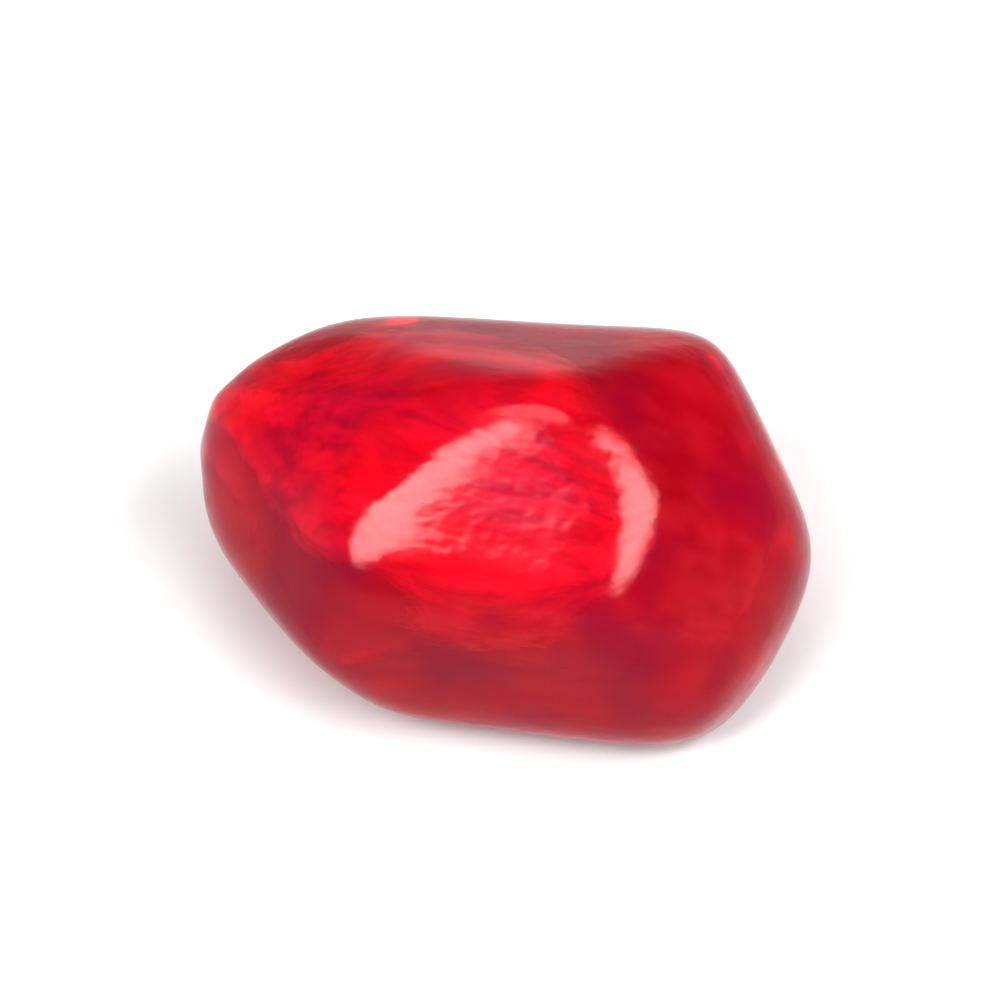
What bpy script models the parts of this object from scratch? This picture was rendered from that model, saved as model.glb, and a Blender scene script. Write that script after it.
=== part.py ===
"""One pomegranate aril, picked clean of the fruit and lying on one of its own flat sides.

Metres, +Z up. The aril's long axis runs along X: the hilum, where it hung from the pith, is at -X, and
the broad outer end, which faced the rind, is at +X. The origin is under the middle of the aril, on the
surface that it lies on.

An aril swells against its neighbours inside the fruit, so it is a drop pressed into flat sides with
rounded edges. Here each side is a plane, and the skin is where all the planes meet, softened.
"""

import math

import bmesh
import bpy
from mathutils import Vector

# Driving dimensions
LENGTH = 0.0112  # hilum end to outer end
WIDTH = 0.0075
HEIGHT = 0.0069  # resting side to top

# The skin
SEGMENTS = 20  # quads along each edge of the cube that the skin is drawn out from
EDGE_SHARPNESS = 17.0  # a higher power gives crisper edges between the flat sides

# Each flat side: degrees round X (0 is +Y, 90 is +Z), degrees it leans towards +X, and its distance from
# the middle. The distances only set proportions: the finished aril is scaled to the driving dimensions.
BELT = (
    (270, 0, 3.25),  # resting side
    (322, 0, 3.60),
    (16, -8, 3.55),
    (66, -7, 3.50),  # top
    (134, 5, 3.52),  # broad upper front side
    (184, 7, 3.52),
    (230, 4, 3.75),
)
SHOULDERS = (  # where the top slopes down to the two ends
    (104, -29, 3.72),
    (98, 34, 4.17),
)
HILUM_TAPER = (
    (156, -43, 4.05),
    (224, -36, 3.90),
    (292, -40, 3.80),
    (4, -40, 4.20),
    (62, -40, 4.75),
)
OUTER_END = (
    (44, 56, 4.85),
    (140, 45, 4.36),
    (222, 50, 5.20),
    (300, 45, 4.55),
    (0, 44, 4.60),
    (200, 78, 5.10),  # the face that pressed on the rind
)
HILUM_END = ((200, -82, 5.10),)
FLAT_SIDES = BELT + SHOULDERS + HILUM_TAPER + OUTER_END + HILUM_END
REST_PLANE = -3.12  # where the resting side is cut flat, in the same units

# The hilum, a low nub on the blunt tapered end
HILUM_DIRECTION = Vector((-0.95, 0.26, -0.10)).normalized()
HILUM_REACH = 0.06  # how far it stands out, as a share of the skin's distance there
HILUM_SPREAD = 0.17  # its half width, in radians seen from the middle

SKIN_COLOUR = (0.62, 0.01, 0.03, 1.0)
SKIN_ROUGHNESS = 0.12


def side_normal(around, lean):
    """The outward direction of a flat side."""
    turn, tilt = math.radians(around), math.radians(lean)
    return Vector((math.sin(tilt), math.cos(tilt) * math.cos(turn), math.cos(tilt) * math.sin(turn)))


def skin_distance(direction, sides):
    """How far the skin is from the middle along a unit direction."""
    pressed = 0.0
    for normal, reach in sides:
        facing = max(direction.dot(normal), 0.0) / reach
        pressed += facing**EDGE_SHARPNESS
    off_hilum = direction.angle(HILUM_DIRECTION)
    nub = HILUM_REACH * math.exp(-((off_hilum / HILUM_SPREAD) ** 2))
    return pressed ** (-1 / EDGE_SHARPNESS) * (1 + nub)


def draw_skin(mesh):
    """Draws a cube's faces out to the skin, and cuts the resting side flat."""
    sides = [(side_normal(around, lean), reach) for around, lean, reach in FLAT_SIDES]
    bmesh.ops.create_cube(mesh, size=2.0)
    bmesh.ops.subdivide_edges(mesh, edges=mesh.edges[:], cuts=SEGMENTS - 1, use_grid_fill=True)
    for vertex in mesh.verts:
        direction = Vector(math.tan(c * math.pi / 4) for c in vertex.co).normalized()
        vertex.co = direction * skin_distance(direction, sides)
    cut = bmesh.ops.bisect_plane(
        mesh,
        geom=mesh.verts[:] + mesh.edges[:] + mesh.faces[:],
        plane_co=(0, 0, REST_PLANE),
        plane_no=(0, 0, -1),
        clear_outer=True,
    )
    rim = [piece for piece in cut["geom_cut"] if isinstance(piece, bmesh.types.BMEdge)]
    bmesh.ops.contextual_create(mesh, geom=rim)


def fit_to_size(mesh):
    """Scales the aril to its driving dimensions, with the origin under its middle."""
    low = Vector(min(v.co[axis] for v in mesh.verts) for axis in range(3))
    high = Vector(max(v.co[axis] for v in mesh.verts) for axis in range(3))
    base = Vector(((low.x + high.x) / 2, (low.y + high.y) / 2, low.z))
    size = high - low
    for vertex in mesh.verts:
        vertex.co -= base
        vertex.co.x *= LENGTH / size.x
        vertex.co.y *= WIDTH / size.y
        vertex.co.z *= HEIGHT / size.z


def skin_material():
    """Deep red, wet and glossy."""
    material = bpy.data.materials.new("aril_skin")
    material.use_nodes = True
    shader = material.node_tree.nodes["Principled BSDF"]
    shader.inputs["Base Color"].default_value = SKIN_COLOUR
    shader.inputs["Roughness"].default_value = SKIN_ROUGHNESS
    shader.inputs["Metallic"].default_value = 0.0
    return material


def make_aril():
    """The whole aril: seed, juice and skin grew as one piece, so it is one solid."""
    mesh = bmesh.new()
    draw_skin(mesh)
    fit_to_size(mesh)
    data = bpy.data.meshes.new("aril")
    mesh.to_mesh(data)
    mesh.free()
    data.shade_smooth()
    data.materials.append(skin_material())
    aril = bpy.data.objects.new("aril", data)
    bpy.context.scene.collection.objects.link(aril)
    return aril


def main():
    for old in list(bpy.data.objects):
        bpy.data.objects.remove(old)
    make_aril()


main()
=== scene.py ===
"""The looks of one pomegranate aril: clear red flesh round a pale seed, lying on a white table.

Metres, +Z up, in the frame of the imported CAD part. The flesh is drawn onto the CAD solid's own surface, and
the seed is built inside it, from the hilum inwards.
"""

import math

import bmesh
import bpy
from mathutils import Matrix, Quaternion, Vector, noise
from mathutils.bvhtree import BVHTree


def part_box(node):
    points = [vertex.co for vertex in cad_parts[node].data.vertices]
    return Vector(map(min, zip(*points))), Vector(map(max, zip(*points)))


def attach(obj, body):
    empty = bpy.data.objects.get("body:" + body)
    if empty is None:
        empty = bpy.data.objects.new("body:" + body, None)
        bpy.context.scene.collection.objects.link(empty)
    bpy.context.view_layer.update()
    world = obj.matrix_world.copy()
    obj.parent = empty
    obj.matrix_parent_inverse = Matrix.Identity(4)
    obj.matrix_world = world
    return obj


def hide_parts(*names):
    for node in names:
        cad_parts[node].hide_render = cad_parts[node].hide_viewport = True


MM = 0.001
UP = Vector((0, 0, 1))
MIX_FIRST, MIX_SECOND, MIX_RESULT = 6, 7, 2  # a Mix node's colour sockets, which share names with others

# The hilum, where the aril hung from the pith
HILUM_DIRECTION = Vector((-0.95, 0.26, -0.10)).normalized()  # from the aril's middle
PUCKER_COUNT, PUCKER_REACH, PUCKER_HEIGHT = 11, 1.5 * MM, 0.05 * MM
PUCKER_WANDER = 2.0  # how far the folds stray from straight lines, in radians of their wave

# The flesh's shape
FLESH_SEGMENTS = 90  # quads along each edge of the cube that the skin is drawn out from
MELT_ROUNDS, MELT_STEP = 30, 0.5  # the smoothing that melts the CAD solid's triangles into one skin
SWELL_SIZE, SWELL_HEIGHT = 3.2 * MM, 0.05 * MM  # broad unevenness of the flat sides
GRAIN_LENGTH, GRAIN_WIDTH, GRAIN_HEIGHT = 5.0 * MM, 0.55 * MM, 0.006 * MM  # faint lengthwise ridges

# The flesh's material. A SIZE is that of a noise's features along each axis, and a RANGE holds the noise
# values between which a look sets in.
FLESH_RED = (0.84, 0.03, 0.07, 1)
FLESH_STREAK_RED = (0.72, 0.012, 0.05, 1)
FLESH_STREAK_SIZE, FLESH_STREAK_RANGE = (4.0 * MM, 0.5 * MM, 0.5 * MM), (0.35, 0.65)
FLESH_PATCH_RED = (0.58, 0.01, 0.08, 1)
FLESH_PATCH_SIZE, FLESH_PATCH_RANGE = (1.8 * MM, 1.8 * MM, 1.8 * MM), (0.40, 0.70)
FLESH_PALE, FLESH_PALE_SHARE = (1.0, 0.55, 0.42, 1), 0.85  # how pale it is at the hilum
FLESH_PALE_REACH = (0.4 * MM, 1.9 * MM)  # distances from the hilum between which the paleness fades
FLESH_ROUGHNESS, FLESH_ROUGHNESS_RANGE = (0.10, 0.17), (0.3, 0.7)
FLESH_CLEARNESS, FLESH_IOR = 0.83, 1.34
FLESH_GLINT = (1.0, 0.66, 0.61, 1)  # what the red skin makes of the light that it mirrors
FLESH_PEBBLE_SIZE, FLESH_PEBBLE_DETAIL = (0.30 * MM, 0.22 * MM, 0.22 * MM), 1.0
FLESH_PEBBLE_HEIGHT = 0.006 * MM
JUICE_COLOUR, JUICE_DENSITY = (0.82, 0.09, 0.34, 1), 600  # it absorbs 1 less the colour, times this, a metre

# The seed's shape
SEED_SEGMENTS = 48
SEED_LENGTH, SEED_WIDTH, SEED_THICKNESS = 8.2 * MM, 3.9 * MM, 3.4 * MM
SEED_SIDES, SEED_EDGE = 5, 14.0  # flat sides and how crisp the edges between them are
SEED_TIP_GIRTH = 0.36  # at the hilum, as a share of the full girth
SEED_WIDENING = 1.45  # how soon it reaches full girth: 1 is only at the blunt end, 2 is halfway there
SEED_GROOVE_LENGTH, SEED_GROOVE_WIDTH, SEED_GROOVE_DEPTH = 6.0 * MM, 0.45 * MM, 0.08 * MM
SEED_BLUNT_DIRECTION = Vector((0.96, -0.27, 0.07)).normalized()  # the way its round end points
SEED_TIP_PROUD = 0.12 * MM  # how far the tip stands out of the skin

# The seed's material, in the same terms as the flesh's
SEED_CREAM, SEED_BROWN = (0.72, 0.58, 0.41, 1), (0.33, 0.19, 0.12, 1)
SEED_STREAK_SIZE, SEED_STREAK_RANGE = (3.0 * MM, 0.3 * MM, 0.3 * MM), (0.35, 0.65)
SEED_STREAK_DETAIL, SEED_STREAK_HEIGHT = 3.0, 0.05 * MM
SEED_STAIN = (0.66, 0.30, 0.24, 1)  # where juice has soaked in
SEED_STAIN_SIZE, SEED_STAIN_RANGE = (1.2 * MM, 1.2 * MM, 1.2 * MM), (0.50, 0.80)
SEED_ROUGHNESS, SEED_ROUGHNESS_RANGE = (0.45, 0.70), (0.3, 0.7)

# The view
CAMERA_AZIMUTH, CAMERA_ELEVATION = 15, 45  # degrees; azimuth 0 looks along +Y
CAMERA_LENS, CAMERA_DISTANCE = 200, 0.098  # millimetres, as Blender takes it, and metres

# The table
TABLE_SIZE, TABLE_GAP = 0.22, 0.01 * MM
TABLE_COLOUR, TABLE_ROUGHNESS = (0.41, 0.41, 0.41, 1), 0.6  # the strong light makes it white

# The room's brightness at the height of the table, along the walls and overhead, and the heights between
# which one passes into the next, as sines of the elevation
ROOM_LOW, ROOM_WALL, ROOM_CEILING = 0.95, 0.60, 0.06
LOW_TO_WALL, WALL_TO_CEILING = (0.04, 0.12), (0.12, 0.55)

# The softboxes: name, azimuth, elevation and roll in degrees, width and height in metres, brightness
SOFTBOXES = (
    ("left", -26, 42, -36, 0.20, 0.62, 18.0),
    ("top", 10, 77, 0, 0.34, 0.26, 6.5),
    ("right", 61, 49, 18, 0.62, 0.22, 17.5),
)
SOFTBOX_DISTANCE = 0.5
SOFTBOX_MIDDLE = (0.5, 0.5, 0.0)  # a lamp's own coordinates run from 0 to 1 across its face
SOFTBOX_FADE = (0.30, 0.52)  # where its light fades out, from its middle, in those coordinates


# ---------------------------------------------------------------- meshes


def cube_sphere(segments):
    """A ball of even quads, as unit directions."""
    mesh = bmesh.new()
    bmesh.ops.create_cube(mesh, size=2.0)
    bmesh.ops.subdivide_edges(mesh, edges=mesh.edges[:], cuts=segments - 1, use_grid_fill=True)
    for vertex in mesh.verts:
        vertex.co = Vector(math.tan(c * math.pi / 4) for c in vertex.co).normalized()
    return mesh


def finished(mesh, name, material):
    """The mesh as a smooth object."""
    mesh.normal_update()
    data = bpy.data.meshes.new(name)
    mesh.to_mesh(data)
    mesh.free()
    data.shade_smooth()
    data.materials.append(material)
    piece = bpy.data.objects.new(name, data)
    bpy.context.scene.collection.objects.link(piece)
    return piece


def lengthwise_noise(point, length, width):
    """Noise drawn out along the aril, from -1 to 1."""
    return noise.noise(Vector((point.x / length, point.y / width, point.z / width)))


def pucker(point, hilum):
    """Small folds that gather towards the hilum, from -1 to 1."""
    away = (point - hilum).length
    turn = math.atan2(point.z - hilum.z, point.y - hilum.y)
    fade = math.exp(-((away / PUCKER_REACH) ** 2))
    return fade * math.cos(PUCKER_COUNT * turn + PUCKER_WANDER * noise.noise(point / MM))


def draw_skin(surface, middle):
    """The CAD solid's surface as even quads, melted smooth."""
    mesh = cube_sphere(FLESH_SEGMENTS)
    for vertex in mesh.verts:
        vertex.co = surface.ray_cast(middle, vertex.co)[0]
    for _ in range(MELT_ROUNDS):
        bmesh.ops.smooth_vert(
            mesh, verts=mesh.verts, factor=MELT_STEP, use_axis_x=True, use_axis_y=True, use_axis_z=True
        )
    mesh.normal_update()
    return mesh


def make_flesh(surface, middle, hilum):
    """The flesh: the skin with its own unevenness, kept flat where the aril rests."""
    mesh = draw_skin(surface, middle)
    floor_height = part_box("aril")[0].z
    for vertex in mesh.verts:
        swell = SWELL_HEIGHT * noise.noise(vertex.co / SWELL_SIZE)
        grain = GRAIN_HEIGHT * lengthwise_noise(vertex.co, GRAIN_LENGTH, GRAIN_WIDTH)
        fold = PUCKER_HEIGHT * pucker(vertex.co, hilum)
        vertex.co += vertex.normal * (swell + grain + fold)
        vertex.co.z = max(vertex.co.z, floor_height)
    return finished(mesh, "pulp", flesh_material(hilum))


def seed_girth(along, turn):
    """How wide the seed is at a place along it and an angle round it, as a share of its full width."""
    facing = sum(
        max(math.cos(turn - 2 * math.pi * side / SEED_SIDES), 0) ** SEED_EDGE for side in range(SEED_SIDES)
    )
    swelling = math.sin(math.pi / 2 * min(along * SEED_WIDENING, 1.0))
    taper = SEED_TIP_GIRTH + (1 - SEED_TIP_GIRTH) * swelling
    return taper * facing ** (-1 / SEED_EDGE)


def draw_seed():
    """The seed lying along +X with its tip at the origin: a long drop with flat sides."""
    mesh = cube_sphere(SEED_SEGMENTS)
    for vertex in mesh.verts:
        x, y, z = vertex.co
        along = (1 + x) / 2
        turn = math.atan2(z, y)
        girth = math.hypot(y, z) * seed_girth(along, turn)
        y = girth * math.cos(turn) * SEED_WIDTH / 2
        z = girth * math.sin(turn) * SEED_THICKNESS / 2
        vertex.co = Vector((along * SEED_LENGTH, y, z))
    mesh.normal_update()
    return mesh


def make_seed(hilum, outward):
    """The kernel, grooved along its length, with its tip at the hilum and its blunt end in the flesh."""
    mesh = draw_seed()
    for vertex in mesh.verts:
        groove = lengthwise_noise(vertex.co, SEED_GROOVE_LENGTH, SEED_GROOVE_WIDTH)
        vertex.co += vertex.normal * SEED_GROOVE_DEPTH * (groove - 1)
    across = UP.cross(SEED_BLUNT_DIRECTION).normalized()
    axes = Matrix((SEED_BLUNT_DIRECTION, across, SEED_BLUNT_DIRECTION.cross(across))).transposed()
    tip = hilum + outward * SEED_TIP_PROUD
    for vertex in mesh.verts:
        vertex.co = tip + axes @ vertex.co
    return finished(mesh, "seed", seed_material())


# ---------------------------------------------------------------- shader nodes


def new_material(name):
    """A material with its node tree and its Principled shader."""
    material = bpy.data.materials.new(name)
    material.use_nodes = True
    tree = material.node_tree
    return material, tree, tree.nodes["Principled BSDF"]


def feed(tree, socket, value):
    """Sets a socket to a plain value, or links it to another socket."""
    if isinstance(value, bpy.types.NodeSocket):
        tree.links.new(value, socket)
    else:
        socket.default_value = value


def added(tree, first, second):
    """The sum of two sockets."""
    node = tree.nodes.new("ShaderNodeMath")
    node.operation = "ADD"
    tree.links.new(first, node.inputs[0])
    tree.links.new(second, node.inputs[1])
    return node.outputs["Value"]


def vector_math(tree, operation, vector, constant):
    """A Vector Math node that works on a socket and a fixed vector."""
    node = tree.nodes.new("ShaderNodeVectorMath")
    node.operation = operation
    tree.links.new(vector, node.inputs[0])
    node.inputs[1].default_value = constant
    return node


def distance_from(tree, point, centre):
    """How far a point is from a fixed one."""
    return vector_math(tree, "DISTANCE", point, centre).outputs["Value"]


def smooth_step(tree, value, span, low=0.0, high=1.0):
    """Goes smoothly from low to high as value goes from the span's start to its end."""
    node = tree.nodes.new("ShaderNodeMapRange")
    node.interpolation_type = "SMOOTHSTEP"
    tree.links.new(value, node.inputs["Value"])
    node.inputs["From Min"].default_value, node.inputs["From Max"].default_value = span
    node.inputs["To Min"].default_value = low
    node.inputs["To Max"].default_value = high
    return node.outputs["Result"]


def place(tree):
    """Where a point is in the aril's own frame, in metres."""
    return tree.nodes.new("ShaderNodeTexCoord").outputs["Object"]


def noise_at(tree, point, size, detail=2.0):
    """Noise from 0 to 1 with features of a given size along each axis."""
    node = tree.nodes.new("ShaderNodeTexNoise")
    stretched = vector_math(tree, "DIVIDE", point, size).outputs["Vector"]
    tree.links.new(stretched, node.inputs["Vector"])
    node.inputs["Scale"].default_value = 1.0
    node.inputs["Detail"].default_value = detail
    return node.outputs["Fac"]


def mixed(tree, share, first, second):
    """A colour between two others."""
    node = tree.nodes.new("ShaderNodeMix")
    node.data_type = "RGBA"
    tree.links.new(share, node.inputs["Factor"])
    feed(tree, node.inputs[MIX_FIRST], first)
    feed(tree, node.inputs[MIX_SECOND], second)
    return node.outputs[MIX_RESULT]


def bumped(tree, shader, height, distance):
    """Gives a shader a bumpy surface."""
    node = tree.nodes.new("ShaderNodeBump")
    tree.links.new(height, node.inputs["Height"])
    node.inputs["Distance"].default_value = distance
    tree.links.new(node.outputs["Normal"], shader.inputs["Normal"])


# ---------------------------------------------------------------- materials


def flesh_colour(tree, point, patches, hilum):
    """Red, with lengthwise streaks and darker patches, that turns pale at the hilum."""
    streaks = noise_at(tree, point, FLESH_STREAK_SIZE)
    red = mixed(tree, smooth_step(tree, streaks, FLESH_STREAK_RANGE), FLESH_RED, FLESH_STREAK_RED)
    red = mixed(tree, smooth_step(tree, patches, FLESH_PATCH_RANGE), red, FLESH_PATCH_RED)
    away = distance_from(tree, point, hilum)
    return mixed(tree, smooth_step(tree, away, FLESH_PALE_REACH, FLESH_PALE_SHARE, 0.0), red, FLESH_PALE)


def fill_with_juice(tree):
    """Makes the flesh redder and darker the more of it the light has crossed."""
    juice = tree.nodes.new("ShaderNodeVolumeAbsorption")
    juice.inputs["Color"].default_value = JUICE_COLOUR
    juice.inputs["Density"].default_value = JUICE_DENSITY
    tree.links.new(juice.outputs["Volume"], tree.nodes["Material Output"].inputs["Volume"])


def flesh_material(hilum):
    """Clear red flesh under a wet, finely pebbled skin."""
    material, tree, shader = new_material("aril_pulp")
    point = place(tree)
    patches = noise_at(tree, point, FLESH_PATCH_SIZE)
    tree.links.new(flesh_colour(tree, point, patches, hilum), shader.inputs["Base Color"])
    roughness = smooth_step(tree, patches, FLESH_ROUGHNESS_RANGE, *FLESH_ROUGHNESS)
    tree.links.new(roughness, shader.inputs["Roughness"])
    shader.inputs["IOR"].default_value = FLESH_IOR
    shader.inputs["Specular Tint"].default_value = FLESH_GLINT
    shader.inputs["Transmission Weight"].default_value = FLESH_CLEARNESS
    pebbles = noise_at(tree, point, FLESH_PEBBLE_SIZE, FLESH_PEBBLE_DETAIL)
    bumped(tree, shader, pebbles, FLESH_PEBBLE_HEIGHT)
    fill_with_juice(tree)
    return material


def seed_material():
    """Woody cream seed coat, streaked along its length and stained by the juice."""
    material, tree, shader = new_material("aril_seed")
    point = place(tree)
    streaks = noise_at(tree, point, SEED_STREAK_SIZE, SEED_STREAK_DETAIL)
    stains = noise_at(tree, point, SEED_STAIN_SIZE)
    wood = mixed(tree, smooth_step(tree, streaks, SEED_STREAK_RANGE), SEED_CREAM, SEED_BROWN)
    wood = mixed(tree, smooth_step(tree, stains, SEED_STAIN_RANGE), wood, SEED_STAIN)
    tree.links.new(wood, shader.inputs["Base Color"])
    roughness = smooth_step(tree, streaks, SEED_ROUGHNESS_RANGE, *SEED_ROUGHNESS)
    tree.links.new(roughness, shader.inputs["Roughness"])
    bumped(tree, shader, streaks, SEED_STREAK_HEIGHT)
    return material


def table_material():
    """Plain, pale and matt."""
    material, _, shader = new_material("white_table")
    shader.inputs["Base Color"].default_value = TABLE_COLOUR
    shader.inputs["Roughness"].default_value = TABLE_ROUGHNESS
    return material


# ---------------------------------------------------------------- studio


def towards(azimuth, elevation):
    """A unit direction. Azimuth 0 is -Y, the camera's side, and 90 is +X; both are in degrees."""
    turn, rise = math.radians(azimuth), math.radians(elevation)
    return Vector((math.sin(turn) * math.cos(rise), -math.cos(turn) * math.cos(rise), math.sin(rise)))


def make_table():
    """The plain pale surface that the aril lies on."""
    mesh = bmesh.new()
    bmesh.ops.create_grid(mesh, x_segments=1, y_segments=1, size=TABLE_SIZE / 2)
    table = finished(mesh, "table", table_material())
    table.location.z = -TABLE_GAP


def make_camera(target):
    """Looks at the aril from the photograph's height, with a long lens."""
    data = bpy.data.cameras.new("camera")
    data.lens = CAMERA_LENS
    data.clip_start = CAMERA_DISTANCE / 10
    camera = bpy.data.objects.new("camera", data)
    back = towards(CAMERA_AZIMUTH, CAMERA_ELEVATION)
    camera.location = target + back * CAMERA_DISTANCE
    camera.rotation_euler = back.to_track_quat("Z", "Y").to_euler()
    bpy.context.scene.collection.objects.link(camera)
    bpy.context.scene.camera = camera


def softbox_lamp(name, width, height, brightness):
    """A rectangular lamp that fades out round its edge. Its face has the asked brightness in the middle."""
    data = bpy.data.lights.new(name, "AREA")
    data.shape = "RECTANGLE"
    data.size = width
    data.size_y = height
    data.energy = brightness * math.pi * width * height
    data.use_nodes = True
    tree = data.node_tree
    spot = tree.nodes.new("ShaderNodeNewGeometry").outputs["Parametric"]
    off_middle = distance_from(tree, spot, SOFTBOX_MIDDLE)
    glow = smooth_step(tree, off_middle, SOFTBOX_FADE, 1.0, 0.0)
    tree.links.new(glow, tree.nodes["Emission"].inputs["Strength"])
    return data


def hang_softbox(name, target, azimuth, elevation, roll, width, height, brightness):
    """Places a softbox so that it faces the aril, out of the camera's sight."""
    lamp = bpy.data.objects.new(name, softbox_lamp(name, width, height, brightness))
    back = towards(azimuth, elevation)
    lamp.location = target + back * SOFTBOX_DISTANCE
    facing = back.to_track_quat("Z", "Y")
    lamp.rotation_euler = (facing @ Quaternion(UP, math.radians(roll))).to_euler()
    lamp.visible_camera = False
    bpy.context.scene.collection.objects.link(lamp)


def make_room():
    """White walls under a dim ceiling, brightest at the height of the table."""
    world = bpy.data.worlds.new("room")
    world.use_nodes = True
    tree = world.node_tree
    sky = tree.nodes.new("ShaderNodeTexCoord").outputs["Generated"]
    height = vector_math(tree, "DOT_PRODUCT", sky, UP).outputs["Value"]
    wall = smooth_step(tree, height, WALL_TO_CEILING, ROOM_WALL, ROOM_CEILING)
    low = smooth_step(tree, height, LOW_TO_WALL, ROOM_LOW - ROOM_WALL, 0.0)
    background = tree.nodes["Background"]
    background.inputs["Color"].default_value = (1, 1, 1, 1)
    tree.links.new(added(tree, wall, low), background.inputs["Strength"])
    bpy.context.scene.world = world


def light_studio(target):
    """Softboxes in a pale room, shown with plain colours and the photograph's strong contrast."""
    for name, *numbers in SOFTBOXES:
        hang_softbox(name + "_softbox", target, *numbers)
    make_room()
    bpy.context.scene.view_settings.view_transform = "Standard"
    bpy.context.scene.view_settings.look = "High Contrast"


# ---------------------------------------------------------------- the aril


def make_aril(middle):
    """The flesh and the seed, in place of the CAD solid."""
    cad = bpy.data.objects["aril"].data
    surface = BVHTree.FromPolygons([v.co for v in cad.vertices], [p.vertices for p in cad.polygons])
    hilum, outward = surface.ray_cast(middle, HILUM_DIRECTION)[:2]
    pulp = make_flesh(surface, middle, hilum)
    seed = make_seed(hilum, outward)
    for piece, slot in ((pulp, "pulp"), (seed, "seed")):
        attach(piece, "root")
        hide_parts("aril")


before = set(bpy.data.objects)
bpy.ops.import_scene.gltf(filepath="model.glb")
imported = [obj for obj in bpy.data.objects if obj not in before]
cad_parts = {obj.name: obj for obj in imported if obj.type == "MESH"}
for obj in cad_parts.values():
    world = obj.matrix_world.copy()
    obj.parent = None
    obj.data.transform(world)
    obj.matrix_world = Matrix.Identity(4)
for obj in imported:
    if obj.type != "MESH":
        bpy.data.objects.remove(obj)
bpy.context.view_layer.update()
low_corner, high_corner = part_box("aril")
middle = (low_corner + high_corner) / 2

make_aril(middle)
make_table()
make_camera(middle)
light_studio(middle)
